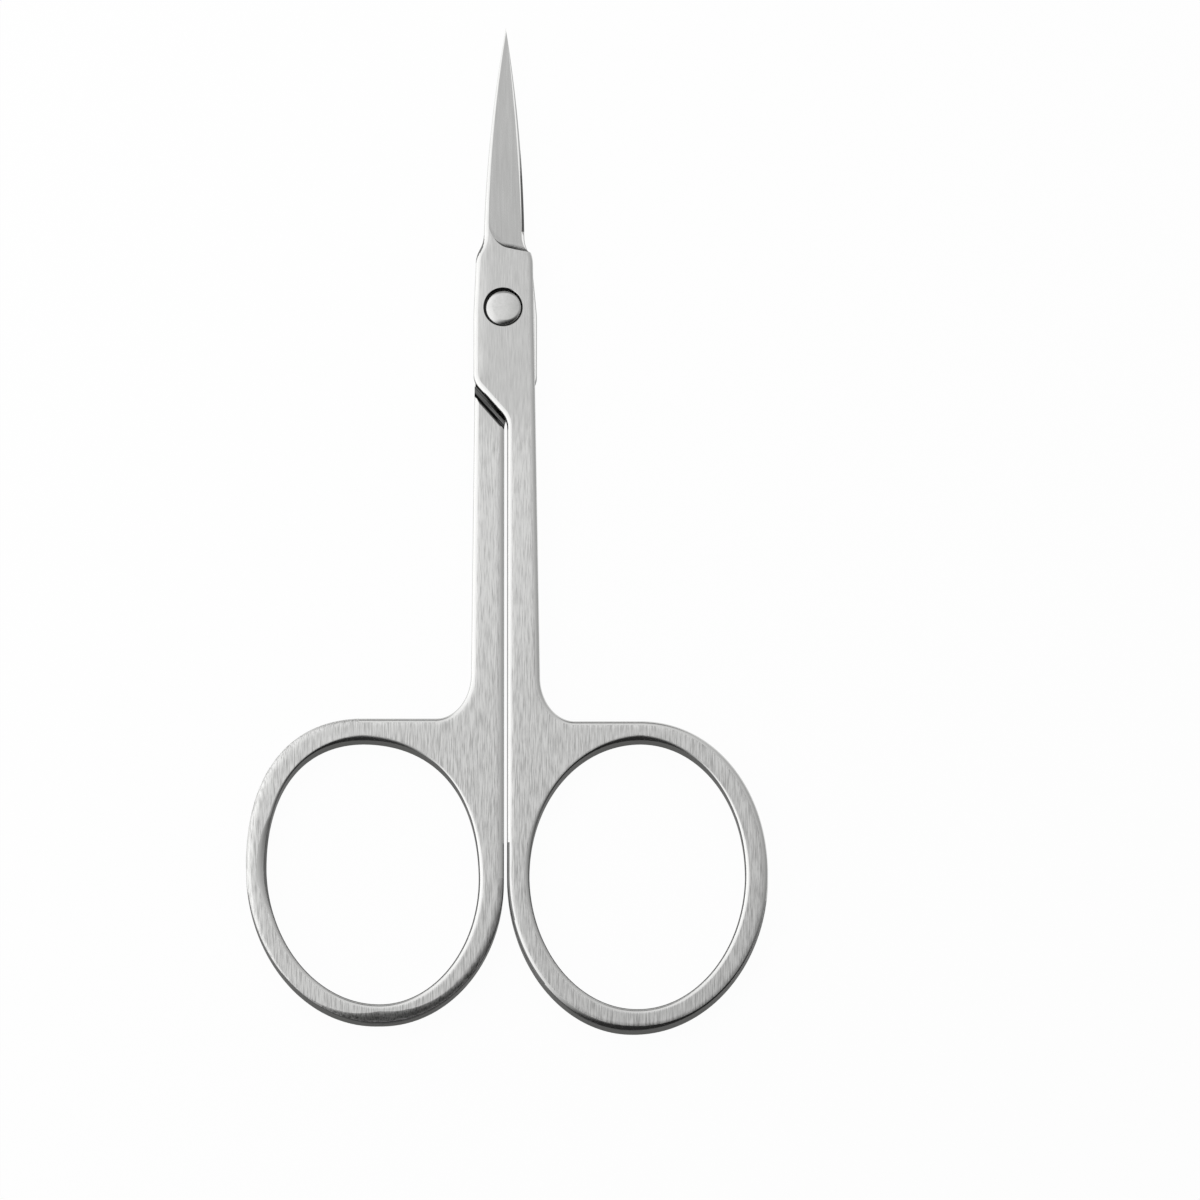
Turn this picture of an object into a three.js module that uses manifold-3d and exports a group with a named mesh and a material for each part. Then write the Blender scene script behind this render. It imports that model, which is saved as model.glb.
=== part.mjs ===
// Small straight-bladed grooming scissors, closed, lying on their back. Millimetres, +Z up.
// The pivot axis is the Z axis, the blades point along +Y and the backs of the handles lie on z = 0.
// Each half is one flat steel blank with rounded edges: its lap is milled to half thickness, its blade
// is ground on the outer face, and its pivot hole is bored. The rear half is the same build turned over.
import * as THREE from "three";
import { mergeVertices } from "three/addons/utils/BufferGeometryUtils.js";
import Module from "manifold-3d";

const wasm = await Module();
wasm.setup();

// Steel blank
const STOCK_THICKNESS = 2.3;
const EDGE_ROUND = 0.42;
const LAP_PLAY = 0.06; // between the two milled laps
const CENTRE_LINE_X = 0.18; // the outline's centre line, measured from the pivot axis

// Blade
const TIP_Y = 26.55;
const BLADE_ROOT_Y = 7.0;
const EDGE_OFFSET = 1.45; // at the root, from the centre line
const SPINE_BELLY = 0.35;
const EDGE_BELLY = 0.21;
const EDGE_THICKNESS = 0.18; // at the root, where the ground face meets the lap face
const TIP_THICKNESS = 0.25;
const SPINE_LAND = 0.02; // depth of the grind where the spine's rounding starts, at the root
const GRIND_ALLOWANCE = 0.4; // blank left outside the cutting edge before it is ground

// Pivot plate
const SHOULDER_HEIGHT = 3.0; // run of the curve from the plate to the blade root
const TAPER_Y = -0.6; // the plate's spine side tapers from here up to the shoulder
const PLUNGE_DROP = 1.5; // where the grind stops on the centre line, below the blade root
const PLUNGE_ANGLE = 8 * THREE.MathUtils.DEG2RAD; // of the plunge line, down towards the cutting edge
const FLARE_DROP = 2.1; // where the ground edge runs out into the plate's side, below the blade root
const LAP_CORNER_Y = -6.88; // where the plate's diagonal end starts
const LAP_ANGLE = 49 * THREE.MathUtils.DEG2RAD; // of the diagonal, from the X axis
const LAP_GROOVE = 0.9; // open groove between a plate's diagonal end and the other half's shoulder
const CORNER_ROUND = 0.8;

// Shank
const SHANK_GAP = 0.28;
const SHANK_OUTER_OFFSET = 3.15; // at the bow, from the centre line
const BOW_FILLET_WIDTH = 3.2;
const BOW_FILLET_HEIGHT = 4.2;

// What differs between the two hand-finished halves: the spine at the blade root, the plate's sides and the
// bow round the finger loop. Shifts move the top of the bow, the bottom of the loop and the bottom of the rim
// outwards, and the rise moves the outermost point up.
// Fullness makes the upper part of the bow squarer than an ellipse.
const FRONT = {
  spineOffset: 2.0,
  plateSpineOffset: 2.95,
  plateSpineTaper: 0.2,
  plateEdgeOffset: 2.5,
  bowTopY: -38.85,
  loopWidth: 19.7,
  loopHeight: 25.15,
  innerRim: 2.05,
  outerRim: 2.1,
  topRim: 1.8,
  bottomRim: 2.05,
  topShift: 0.3,
  bottomShift: 0.03,
  rimBottomShift: -0.45,
  outerRise: 0,
  fullness: 0.57,
};
const REAR = {
  spineOffset: 1.7,
  plateSpineOffset: 2.86,
  plateSpineTaper: 0.42,
  plateEdgeOffset: 2.72,
  bowTopY: -38.6,
  loopWidth: 19.4,
  loopHeight: 24.7,
  innerRim: 2.3,
  outerRim: 1.88,
  topRim: 2.05,
  bottomRim: 1.82,
  topShift: 0.85,
  bottomShift: -0.65,
  rimBottomShift: -0.65,
  outerRise: 0.6,
  fullness: 0.63,
};
const ELLIPSE_FULLNESS = (4 / 3) * (Math.SQRT2 - 1);

// Pivot rivet
const RIVET_SHANK_RADIUS = 0.9;
const RIVET_HEAD_RADIUS = 1.7;
const RIVET_HEAD_THICKNESS = 0.62;
const RIVET_HEAD_CHAMFER = 0.3;
const RIVET_HEAD_PROUD = 0.06; // above the face of the front half
const RIVET_TAIL_RADIUS = 1.3; // formed into the countersink in the back
const RIVET_TAIL_DEPTH = 0.45;
const HEAD_SIDE_CLEARANCE = 0.1;
const RUNNING_CLEARANCE = 0.04;
const SEAT_CLEARANCE = 0.02;

// Finish
const STEEL_COLOUR = 0xc6c7c6;
const STEEL_ROUGHNESS = 0.32;
const RIVET_ROUGHNESS = 0.22;

// Fineness of the curves
const CURVE_STEPS = 12;
const ROUND_STEPS = 2;
const LATHE_STEPS = 40;

const LAP_FACE_Z = (STOCK_THICKNESS + LAP_PLAY) / 2;
const REACH = 4 * TIP_Y; // longer than any cut
const WELD_DISTANCE = 1e-4;

function solidOf(geometry) {
  geometry.deleteAttribute("normal");
  geometry.deleteAttribute("uv");
  const welded = mergeVertices(geometry, WELD_DISTANCE);
  return new wasm.Manifold(
    new wasm.Mesh({
      numProp: 3,
      vertProperties: welded.attributes.position.array,
      triVerts: new Uint32Array(welded.index.array),
    }),
  );
}

function geometryOf(solid) {
  const { vertProperties, triVerts } = solid.getMesh();
  const geometry = new THREE.BufferGeometry();
  geometry.setAttribute("position", new THREE.BufferAttribute(vertProperties, 3));
  geometry.setIndex(new THREE.BufferAttribute(triVerts, 1));
  geometry.computeVertexNormals();
  return geometry;
}

// A straight cutter standing on z = 0.
function prism(shape) {
  return new THREE.ExtrudeGeometry(shape, { depth: REACH, bevelEnabled: false, curveSegments: CURVE_STEPS });
}

// A solid of revolution about the Z axis, from a profile of [radius, z] points.
function turned(profile) {
  const points = profile.map(([radius, z]) => new THREE.Vector2(radius, z));
  return new THREE.LatheGeometry(points, LATHE_STEPS).rotateX(Math.PI / 2);
}

// Shapes below are drawn from the centre line, with the handle towards +X and the spine towards -X.

// A quarter of an oval between two of its turning points.
function quarterTo(path, from, to, fullness, leavesLevel) {
  const runX = fullness * (to.x - from.x);
  const runY = fullness * (to.y - from.y);
  if (leavesLevel) path.bezierCurveTo(from.x + runX, from.y, to.x, to.y - runY, to.x, to.y);
  else path.bezierCurveTo(from.x, from.y + runY, to.x - runX, to.y, to.x, to.y);
}

// The turning points of the finger loop's hole, and of the bow's rim round it.
function bowTurns(sizes) {
  const innerX = SHANK_GAP / 2 + sizes.innerRim;
  const outerX = innerX + sizes.loopWidth;
  const topY = sizes.bowTopY - sizes.topRim;
  const bottomY = topY - sizes.loopHeight;
  const topX = (innerX + outerX) / 2 + sizes.topShift;
  const bottomX = (innerX + outerX) / 2 + sizes.bottomShift;
  const rimBottomX = (innerX + outerX) / 2 + sizes.rimBottomShift;
  const outerY = (topY + bottomY) / 2 + sizes.outerRise;
  const innerY = (topY + bottomY) / 2 - sizes.outerRise;
  const hole = {
    top: new THREE.Vector2(topX, topY),
    outer: new THREE.Vector2(outerX, outerY),
    bottom: new THREE.Vector2(bottomX, bottomY),
    inner: new THREE.Vector2(innerX, innerY),
  };
  const rim = {
    top: new THREE.Vector2(topX, sizes.bowTopY),
    outer: new THREE.Vector2(outerX + sizes.outerRim, outerY),
    bottom: new THREE.Vector2(rimBottomX, bottomY - sizes.bottomRim),
    inner: new THREE.Vector2(SHANK_GAP / 2, innerY),
  };
  return { hole, rim };
}

// From the top of an oval, round its outside and bottom, to its inner side.
function ovalSweep(path, oval, fullness) {
  quarterTo(path, oval.top, oval.outer, fullness, true);
  quarterTo(path, oval.outer, oval.bottom, ELLIPSE_FULLNESS, false);
  quarterTo(path, oval.bottom, oval.inner, ELLIPSE_FULLNESS, true);
}

// The hole is listed the other way round from the outline, as a hole has to be.
function loopHole(hole, fullness) {
  const path = new THREE.Path();
  path.moveTo(hole.top.x, hole.top.y);
  ovalSweep(path, hole, fullness);
  quarterTo(path, hole.inner, hole.top, fullness, false);
  return new THREE.Path(path.getPoints(CURVE_STEPS).reverse());
}

// A curve of the blade between its root and the tip, bulging by its belly.
function bladeCurveTo(path, from, to, belly) {
  path.quadraticCurveTo((from.x + to.x) / 2 + 2 * belly, (from.y + to.y) / 2, to.x, to.y);
}

// A soft S from one upright line to another.
function shoulderTo(path, from, to) {
  const reach = (to.y - from.y) / 2;
  path.bezierCurveTo(from.x, from.y + reach, to.x, to.y - reach, to.x, to.y);
}

const TIP = new THREE.Vector2(0, TIP_Y);
const EDGE_ROOT = new THREE.Vector2(EDGE_OFFSET, BLADE_ROOT_Y);

function halfOutline(sizes) {
  const { hole, rim } = bowTurns(sizes);
  const innerX = SHANK_GAP / 2;
  const spineRoot = new THREE.Vector2(-sizes.spineOffset, BLADE_ROOT_Y);
  const spineX = -sizes.plateSpineOffset;
  const shoulderY = BLADE_ROOT_Y - SHOULDER_HEIGHT;
  const spineShoulder = new THREE.Vector2(spineX + sizes.plateSpineTaper, shoulderY);
  const edgeShoulder = new THREE.Vector2(sizes.plateEdgeOffset, shoulderY);
  const blankEdge = new THREE.Vector2(EDGE_OFFSET + GRIND_ALLOWANCE, BLADE_ROOT_Y);
  const shankEnd = new THREE.Vector2(SHANK_OUTER_OFFSET, sizes.bowTopY + BOW_FILLET_HEIGHT);
  const filletEnd = new THREE.Vector2(SHANK_OUTER_OFFSET + BOW_FILLET_WIDTH, sizes.bowTopY);
  const diagonalY = (x) => LAP_CORNER_Y - (x - spineX) * Math.tan(LAP_ANGLE);
  const cornerRun = CORNER_ROUND * Math.cos(LAP_ANGLE);

  const outline = new THREE.Shape();
  outline.moveTo(spineRoot.x, spineRoot.y);
  bladeCurveTo(outline, spineRoot, TIP, -SPINE_BELLY);
  outline.lineTo(blankEdge.x, TIP_Y);
  outline.lineTo(blankEdge.x, blankEdge.y);
  shoulderTo(outline, blankEdge, edgeShoulder);
  outline.lineTo(shankEnd.x, shankEnd.y);
  quarterTo(outline, shankEnd, filletEnd, ELLIPSE_FULLNESS, false);
  outline.lineTo(rim.top.x, rim.top.y);
  ovalSweep(outline, rim, sizes.fullness);
  outline.lineTo(innerX, diagonalY(innerX) - CORNER_ROUND);
  outline.quadraticCurveTo(innerX, diagonalY(innerX), innerX - cornerRun, diagonalY(innerX - cornerRun));
  outline.lineTo(spineX + cornerRun, diagonalY(spineX + cornerRun));
  outline.quadraticCurveTo(spineX, LAP_CORNER_Y, spineX, LAP_CORNER_Y + CORNER_ROUND);
  outline.lineTo(spineX, TAPER_Y);
  outline.lineTo(spineShoulder.x, spineShoulder.y);
  shoulderTo(outline, spineShoulder, spineRoot);
  outline.holes.push(loopHole(hole, sizes.fullness));
  return outline;
}

function blank(sizes) {
  const geometry = new THREE.ExtrudeGeometry(halfOutline(sizes), {
    depth: STOCK_THICKNESS - 2 * EDGE_ROUND,
    bevelThickness: EDGE_ROUND,
    bevelSize: EDGE_ROUND,
    bevelOffset: -EDGE_ROUND,
    bevelSegments: ROUND_STEPS,
    curveSegments: CURVE_STEPS,
  });
  return geometry.translate(0, 0, EDGE_ROUND);
}

// All below the lap face, down to the diagonal shoulder that leaves the groove to the other half's plate.
function lapCutter(otherPlateSpineOffset) {
  const startY = LAP_CORNER_Y - LAP_GROOVE / Math.cos(LAP_ANGLE);
  const shoulderY = (x) => startY + (x - otherPlateSpineOffset) * Math.tan(LAP_ANGLE);
  const shape = new THREE.Shape();
  shape.moveTo(-REACH, shoulderY(-REACH));
  shape.lineTo(REACH, shoulderY(REACH));
  shape.lineTo(-REACH, shoulderY(REACH));
  return prism(shape).translate(0, 0, LAP_FACE_Z - REACH);
}

// All outside the cutting edge, from the tip to the flare at the plate.
function edgeCutter(plateEdgeOffset) {
  const flareX = plateEdgeOffset + GRIND_ALLOWANCE;
  const flareY = BLADE_ROOT_Y - FLARE_DROP;
  const shape = new THREE.Shape();
  shape.moveTo(TIP.x, TIP.y + REACH);
  shape.lineTo(TIP.x, TIP.y);
  bladeCurveTo(shape, TIP, EDGE_ROOT, EDGE_BELLY);
  shape.quadraticCurveTo(EDGE_OFFSET, BLADE_ROOT_Y - PLUNGE_DROP, flareX, flareY);
  shape.lineTo(flareX + REACH, flareY);
  shape.lineTo(flareX + REACH, TIP.y + REACH);
  return prism(shape).translate(0, 0, -REACH / 2);
}

// All above the ground face, which slopes from the spine to the edge and stops at a swept plunge line.
function grindCutter(sizes) {
  const plungeY = BLADE_ROOT_Y - PLUNGE_DROP;
  const side = sizes.plateSpineOffset + GRIND_ALLOWANCE;
  const spineX = EDGE_ROUND - sizes.spineOffset;
  const shape = new THREE.Shape();
  shape.moveTo(-side, BLADE_ROOT_Y);
  shape.lineTo(spineX, BLADE_ROOT_Y);
  shape.quadraticCurveTo(spineX, plungeY, 0, plungeY);
  shape.lineTo(side, plungeY - side * Math.tan(PLUNGE_ANGLE));
  shape.lineTo(side, TIP_Y + SHOULDER_HEIGHT);
  shape.lineTo(-side, TIP_Y + SHOULDER_HEIGHT);

  const face = new THREE.Plane().setFromCoplanarPoints(
    new THREE.Vector3(EDGE_ROOT.x, EDGE_ROOT.y, LAP_FACE_Z + EDGE_THICKNESS),
    new THREE.Vector3(TIP.x, TIP.y, LAP_FACE_Z + TIP_THICKNESS),
    new THREE.Vector3(spineX, BLADE_ROOT_Y, STOCK_THICKNESS - SPINE_LAND),
  );
  const slopeX = -face.normal.x / face.normal.z;
  const slopeY = -face.normal.y / face.normal.z;
  const height = -face.constant / face.normal.z;
  const lean = new THREE.Matrix4().set(1, 0, 0, 0, 0, 1, 0, 0, slopeX, slopeY, 1, height, 0, 0, 0, 1);
  return prism(shape).applyMatrix4(lean);
}

// The running bore and the recess for the rivet's head, in the front half.
function headBore() {
  const bore = RIVET_SHANK_RADIUS + RUNNING_CLEARANCE;
  const recess = RIVET_HEAD_RADIUS + HEAD_SIDE_CLEARANCE;
  const floorZ = STOCK_THICKNESS + RIVET_HEAD_PROUD - RIVET_HEAD_THICKNESS - SEAT_CLEARANCE;
  return turned([
    [0, -REACH],
    [bore, -REACH],
    [bore, floorZ],
    [recess, floorZ],
    [recess, REACH],
    [0, REACH],
  ]);
}

// The bore and the countersink for the rivet's tail, in the rear half as it lies before it is turned over.
function tailBore() {
  const bore = RIVET_SHANK_RADIUS + SEAT_CLEARANCE;
  const mouth = RIVET_TAIL_RADIUS + SEAT_CLEARANCE;
  return turned([
    [0, -REACH],
    [bore, -REACH],
    [bore, STOCK_THICKNESS - RIVET_TAIL_DEPTH],
    [mouth, STOCK_THICKNESS],
    [mouth, REACH],
    [0, REACH],
  ]);
}

function steel(roughness) {
  return new THREE.MeshStandardMaterial({ color: STEEL_COLOUR, roughness, metalness: 1 });
}

// One half with its handle towards +X and its outer face up, bored on the Z axis.
function half(name, sizes, otherSizes, centreLineX, bore) {
  const cutters = [
    lapCutter(otherSizes.plateSpineOffset),
    edgeCutter(sizes.plateEdgeOffset),
    grindCutter(sizes),
  ];
  let body = solidOf(blank(sizes).translate(centreLineX, 0, 0));
  for (const cutter of cutters) {
    body = body.subtract(solidOf(cutter.translate(centreLineX, 0, 0)));
  }
  body = body.subtract(solidOf(bore));
  const mesh = new THREE.Mesh(geometryOf(body), steel(STEEL_ROUGHNESS));
  mesh.name = name;
  return mesh;
}

function pivotRivet() {
  const topZ = STOCK_THICKNESS + RIVET_HEAD_PROUD;
  const seatZ = topZ - RIVET_HEAD_THICKNESS;
  const profile = [
    [0, 0],
    [RIVET_TAIL_RADIUS, 0],
    [RIVET_SHANK_RADIUS, RIVET_TAIL_DEPTH],
    [RIVET_SHANK_RADIUS, seatZ],
    [RIVET_HEAD_RADIUS, seatZ],
    [RIVET_HEAD_RADIUS, topZ - RIVET_HEAD_CHAMFER],
    [RIVET_HEAD_RADIUS - RIVET_HEAD_CHAMFER, topZ],
    [0, topZ],
  ];
  const mesh = new THREE.Mesh(turned(profile), steel(RIVET_ROUGHNESS));
  mesh.name = "pivot_rivet";
  return mesh;
}

function rearSide() {
  const side = new THREE.Group();
  side.rotation.y = Math.PI;
  side.position.z = STOCK_THICKNESS;
  side.add(half("rear_half", REAR, FRONT, -CENTRE_LINE_X, tailBore()));
  return side;
}

const scissors = new THREE.Group();
scissors.add(half("front_half", FRONT, REAR, CENTRE_LINE_X, headBore()));
scissors.add(rearSide());
scissors.add(pivotRivet());

export default scissors;
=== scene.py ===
# Looks of the grooming scissors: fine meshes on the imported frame, brushed steel, a studio and a camera.
import math

import bmesh
import bpy
from mathutils import Matrix, Vector


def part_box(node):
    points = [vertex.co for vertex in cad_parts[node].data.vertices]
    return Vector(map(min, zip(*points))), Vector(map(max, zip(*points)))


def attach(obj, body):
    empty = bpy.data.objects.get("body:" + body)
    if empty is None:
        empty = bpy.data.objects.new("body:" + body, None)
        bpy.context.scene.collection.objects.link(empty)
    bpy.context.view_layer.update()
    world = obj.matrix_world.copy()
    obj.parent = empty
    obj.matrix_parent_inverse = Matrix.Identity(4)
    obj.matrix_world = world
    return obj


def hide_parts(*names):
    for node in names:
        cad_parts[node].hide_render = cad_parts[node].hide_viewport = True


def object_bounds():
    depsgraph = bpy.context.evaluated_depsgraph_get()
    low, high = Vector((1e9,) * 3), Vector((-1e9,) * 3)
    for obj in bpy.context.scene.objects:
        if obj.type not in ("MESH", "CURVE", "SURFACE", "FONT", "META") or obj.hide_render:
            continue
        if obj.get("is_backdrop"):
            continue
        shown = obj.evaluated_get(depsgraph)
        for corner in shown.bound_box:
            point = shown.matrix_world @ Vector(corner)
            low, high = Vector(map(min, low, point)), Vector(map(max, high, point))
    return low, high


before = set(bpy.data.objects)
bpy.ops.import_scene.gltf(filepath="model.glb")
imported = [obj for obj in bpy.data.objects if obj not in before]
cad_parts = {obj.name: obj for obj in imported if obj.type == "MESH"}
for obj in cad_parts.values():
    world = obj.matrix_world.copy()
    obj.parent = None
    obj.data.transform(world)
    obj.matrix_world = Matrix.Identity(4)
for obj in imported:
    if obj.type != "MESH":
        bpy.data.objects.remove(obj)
cad_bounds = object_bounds()

MM = 0.001

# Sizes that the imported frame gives, in millimetres
STOCK_THICKNESS = (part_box("rear_half")[1].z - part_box("rear_half")[0].z) / MM
TIP_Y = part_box("front_half")[1].y / MM
RIVET_HEAD_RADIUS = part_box("pivot_rivet")[1].x / MM
RIVET_TOP_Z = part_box("pivot_rivet")[1].z / MM

# Steel blank, in millimetres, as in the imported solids
EDGE_ROUND = 0.42  # width of the rounding along the edges
LAP_PLAY = 0.06  # between the two milled laps
CENTRE_LINE_X = 0.18  # the outlines' centre line, measured from the pivot's axis
LAP_FACE_Z = (STOCK_THICKNESS + LAP_PLAY) / 2

# Blade
BLADE_ROOT_Y = 7.0
EDGE_OFFSET = 1.45  # at the root, from the centre line
SPINE_BELLY = 0.35
EDGE_BELLY = 0.21
EDGE_THICKNESS = 0.18  # at the root, where the ground face meets the lap face
TIP_THICKNESS = 0.25
SPINE_LAND = 0.02  # depth of the grind where the spine's rounding starts, at the root
GRIND_ALLOWANCE = 0.4  # blank left outside the cutting edge before it is ground

# Pivot plate
SHOULDER_HEIGHT = 3.0  # run of the curve from the plate to the blade's root
TAPER_Y = -0.6  # the plate's spine side tapers from here up to the shoulder
PLUNGE_DROP = 1.5  # where the grind stops on the centre line, below the blade's root
PLUNGE_ANGLE = math.radians(8)  # of the plunge line, down towards the cutting edge
FLARE_DROP = 2.1  # where the ground edge runs out into the plate's side, below the blade's root
LAP_CORNER_Y = -6.88  # where the plate's diagonal end starts
LAP_ANGLE = math.radians(49)  # of the diagonal, from the X axis
LAP_GROOVE = 0.9  # open groove between a plate's diagonal end and the other half's shoulder
CORNER_ROUND = 0.8

# Shank
SHANK_GAP = 0.28
SHANK_OUTER_OFFSET = 3.15  # at the bow, from the centre line
BOW_FILLET_WIDTH = 3.2
BOW_FILLET_HEIGHT = 4.2

# Pivot rivet and its seats
RIVET_SHANK_RADIUS = 0.9
RIVET_HEAD_THICKNESS = 0.62
RIVET_TAIL_RADIUS = 1.3  # formed into the countersink in the back
RIVET_TAIL_DEPTH = 0.45
HEAD_SIDE_CLEARANCE = 0.1
RUNNING_CLEARANCE = 0.04
SEAT_CLEARANCE = 0.02

# Fine surface of the edges: the width of their rounding where it is not EDGE_ROUND, how far they lean where
# they break off to the side, and how far they lean where painted shade starts on them
SLANT_ROUND = 0.15  # where an edge of a bow runs slantwise, facing the front
PLATE_LAP_ROUND = 0.1  # where the plate's milled lap meets its side
BLADE_LAP_ROUND = 0.28  # where the blade's lap meets its spine, at the root
TIP_EDGE_ROUND = 0.1
TIP_LAP_ROUND = 0.06
EDGE_END = math.radians(52)
LOOP_END = math.radians(68)  # round the sides and bottom of a finger loop
WORN_END = math.radians(57)  # at the lowest part of a bow's rim
LOOP_PAINTED_SHADE_TILT = math.radians(47)
WORN_PAINTED_SHADE_TILT = math.radians(43)
SHOULDER_PAINTED_SHADE_TILT = math.radians(28)  # on the slope from the plate to the blade's spine, where painted shade starts at a lower lean
SHADED_RIM_RISE = 2.4  # painted shade on the rim beside the other bow starts this far above its innermost point
BLADE_LAP_ROUND_Y = 7.3  # the blade's own lap edge starts here
SHADED_SPINE_Y = 11.8  # is painted with shade up to here
UNSHADED_SPINE_Y = 15.2  # and is free of painted shade over its whole width from here
LAP_START = 0.7  # the blank's foot steps up to the lap this far past the shoulder
LAP_STEP_SHARE = 0.1  # and takes this share of the outline's straight run there
LOOP_WEAR_REACH = 4.5  # up and down the loop's side from its outermost point
WEAR_POWER = 3  # how late wear sets in on the way to the place that is worn most

# Crown: the handles' faces, and the plate's along its spine, fall away a little before the rounded edges
CROWN_WIDTH = 0.3
PLATE_CROWN_WIDTH = 1.1
CROWN_LEAST = 0.02
CROWN_ANGLE = math.radians(12)
CROWN_START_Y = -12.5  # a shank's crown starts here
CROWN_FULL_Y = -15.5  # and has its full width from here

# Fine surface of the cuts and the rivet's head
PLUNGE_BEND_X = 0.4  # the plunge line bends up towards the spine from here
PLUNGE_ROUND = 0.9  # hollow that the grinding wheel leaves at the plunge line
PLUNGE_SHADE_RISE = 0.15  # from the ground face up to where the hollow is painted dark as shade
SHOULDER_CHAMFER_WIDTH = 0.12
SHOULDER_CHAMFER_DEPTH = 0.07
RECESS_LIP = 0.05
RECESS_SHIFT = Vector((-0.07, 0.02))  # from the pivot's axis to the recess's middle
RIVET_HEAD_ROUND = 0.5
RIVET_HEAD_START = math.radians(15)  # how far the head's rounding leans where it leaves the flat
RIVET_HEAD_END = math.radians(48)  # and where it meets the side
RIVET_FACE_SHIFT = Vector((0.2, 0.06))  # from the head's middle to the middle of its flat

# What differs between the two halves. Shifts move the top of the bow, the bottom of the loop and the
# bottom of the rim outwards, and the rise moves the outermost point up. Fullness makes the upper part of
# the bow squarer than an ellipse. Wear widens the edge at the rim's lowest part and at the loop's outer
# side, and the painted shade tilt is how far the rim leans where painted shade starts beside the other bow.
FRONT = dict(
    spine_offset=2.0,
    plate_spine_offset=2.95, plate_spine_taper=0.2, plate_edge_offset=2.5,
    bow_top_y=-38.85, loop_width=19.7, loop_height=25.15,
    inner_rim=2.05, outer_rim=2.1, top_rim=1.8, bottom_rim=2.05,
    top_shift=0.3, bottom_shift=0.03, rim_bottom_shift=-0.45, outer_rise=0.0, fullness=0.57,
    rim_wear=0.0, loop_wear=0.0, painted_shade_tilt=math.radians(25),
)
REAR = dict(
    spine_offset=1.7,
    plate_spine_offset=2.86, plate_spine_taper=0.42, plate_edge_offset=2.72,
    bow_top_y=-38.6, loop_width=19.4, loop_height=24.7,
    inner_rim=2.3, outer_rim=1.88, top_rim=2.05, bottom_rim=1.82,
    top_shift=0.85, bottom_shift=-0.65, rim_bottom_shift=-0.65, outer_rise=0.6, fullness=0.63,
    rim_wear=0.68, loop_wear=0.48, painted_shade_tilt=EDGE_END,
)
ELLIPSE_FULLNESS = 4 / 3 * (math.sqrt(2) - 1)

# Fineness of the meshes
CURVE_STEPS = 48
LINE_STEP = 1.5
ROUND_STEPS = 8
CROWN_STEPS = 3
TURN_STEPS = 128
REACH = 4 * TIP_Y  # longer than any cut
CUT_SKIN = 0.01  # steel left on a blank where a cutter takes its face away
WELD_DISTANCE = 1e-5
SHARP_ANGLE = math.radians(28)
FLAT_WEIGHT = 80  # how much the large flat faces count in the shading

# Finishes, in the order of a half's material slots
BRUSHED, POLISHED, SIDE, GROUND, PLUNGE, LAP, GROOVE, RECESS = range(8)
FACE_TILT = math.radians(10)  # a surface that leans less than this is brushed as a face
FACE_NORMAL_Z = math.cos(math.radians(25))
BEVEL_NORMAL_Z = math.cos(math.radians(60))
RIVET_SIDE_NORMAL_Z = math.cos(math.radians(78))
GROOVE_SHADE = 0.5  # how far the groove's painted shade runs under the other half


# Outlines, drawn from the centre line with the handle towards +X and the spine towards -X

def along(chain, share):
    """The point at a share of the way along the Bezier curve with these control points."""
    while len(chain) > 1:
        chain = [a.lerp(b, share) for a, b in zip(chain, chain[1:])]
    return chain[0]


class Outline:
    """An outline, drawn like a pen stroke."""

    def __init__(self, start):
        self.points = [Vector(start)]

    def line(self, *end):
        start = self.points[-1]
        run = Vector(end) - start
        steps = math.ceil(run.length / LINE_STEP)
        self.points += [start + run * step / steps for step in range(1, steps + 1)]

    def curve(self, *controls):
        chain = [self.points[-1], *(Vector(c) for c in controls)]
        self.points += [along(chain, step / CURVE_STEPS) for step in range(1, CURVE_STEPS + 1)]

    def quarter(self, end, fullness, leaves_level):
        """A quarter of an oval between two of its turning points."""
        start = self.points[-1]
        run = fullness * (end - start)
        if leaves_level:
            self.curve((start.x + run.x, start.y), (end.x, end.y - run.y), end)
        else:
            self.curve((start.x, start.y + run.y), (end.x - run.x, end.y), end)

    def oval_sweep(self, oval, fullness):
        """From the top of an oval, round its outside and bottom, to its inner side."""
        self.quarter(oval["outer"], fullness, True)
        self.quarter(oval["bottom"], ELLIPSE_FULLNESS, False)
        self.quarter(oval["inner"], ELLIPSE_FULLNESS, True)

    def blade_curve(self, end, belly):
        middle = (self.points[-1] + end) / 2
        self.curve((middle.x + 2 * belly, middle.y), end)

    def shoulder(self, end):
        """A soft S from one upright line to another."""
        start = self.points[-1]
        reach = (end.y - start.y) / 2
        self.curve((start.x, start.y + reach), (end.x, end.y - reach), end)


TIP = Vector((0, TIP_Y))
EDGE_ROOT = Vector((EDGE_OFFSET, BLADE_ROOT_Y))


def spine_root(sizes):
    return Vector((-sizes["spine_offset"], BLADE_ROOT_Y))


def grind_root(sizes):
    """Where the ground face meets the spine's rounding."""
    return Vector((EDGE_ROUND - sizes["spine_offset"], BLADE_ROOT_Y))


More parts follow.
